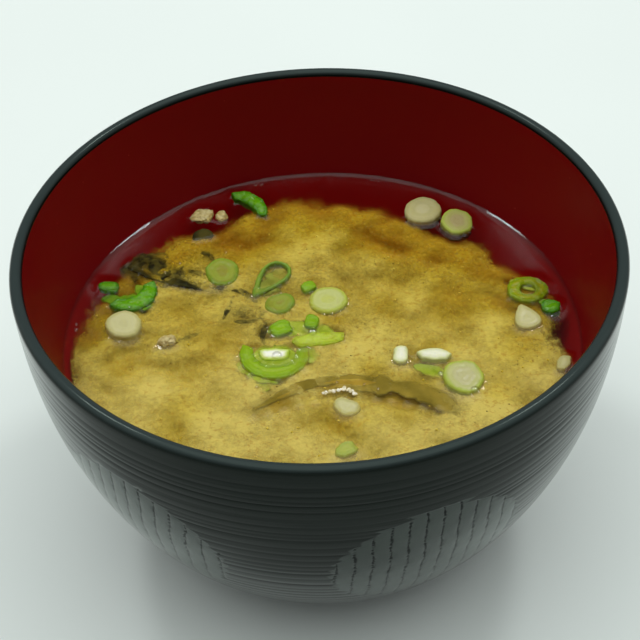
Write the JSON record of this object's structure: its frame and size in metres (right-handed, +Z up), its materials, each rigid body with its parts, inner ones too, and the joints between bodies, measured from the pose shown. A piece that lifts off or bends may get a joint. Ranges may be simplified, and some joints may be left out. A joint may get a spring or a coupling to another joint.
{
  "type": "bowl of miso soup",
  "caption": "Round lacquered soup bowl, black outside and red inside, filled with miso soup with floating scallion, wakame and tofu.",
  "frame": {"origin": "centre of the foot ring, on the table", "axes": "+Z up along the bowl's axis, -Y towards the front, +X to the right"},
  "size_m": [0.115, 0.115, 0.071],
  "materials": {
    "lacquer": "satin black outside, glossy red inside",
    "miso_broth": "cloudy liquid, wet",
    "scallion_white": "moist",
    "scallion_pale": "moist",
    "scallion_green": "moist",
    "tofu": "soft, moist",
    "wakame": "slick, moist"
  },
  "bodies": {
    "root": {"bowl": "lacquer", "soup": "miso_broth", "scallion_white_left": "scallion_white", "scallion_white_back": "scallion_white", "scallion_white_centre": "scallion_white", "scallion_heart": "scallion_white", "scallion_core_front": "scallion_white", "scallion_arc_striped": "scallion_white", "scallion_white_chip": "scallion_white", "scallion_white_right": "scallion_white", "scallion_chip_edge": "scallion_white", "scallion_green_back": "scallion_pale", "scallion_round_right": "scallion_pale", "scallion_round_left": "scallion_pale", "scallion_sunk_ring": "scallion_pale", "scallion_chip_front": "scallion_pale", "scallion_ring_right": "scallion_pale", "scallion_arc_front": "scallion_pale", "scallion_leaf_flat": "scallion_pale", "scallion_chip_mid_left": "scallion_pale", "scallion_chip_mid_right": "scallion_pale", "scallion_tube": "scallion_green", "scallion_arc_back": "scallion_green", "scallion_arc_left": "scallion_green", "scallion_chip_right": "scallion_green", "scallion_chip_left": "scallion_green", "scallion_chip_dark": "scallion_green", "tofu_crumb_back": "tofu", "tofu_crumb_middle": "tofu", "tofu_crumb_left": "tofu", "wakame_front": "wakame", "wakame_left": "wakame", "wakame_back": "wakame"}
  },
  "joints": []
}
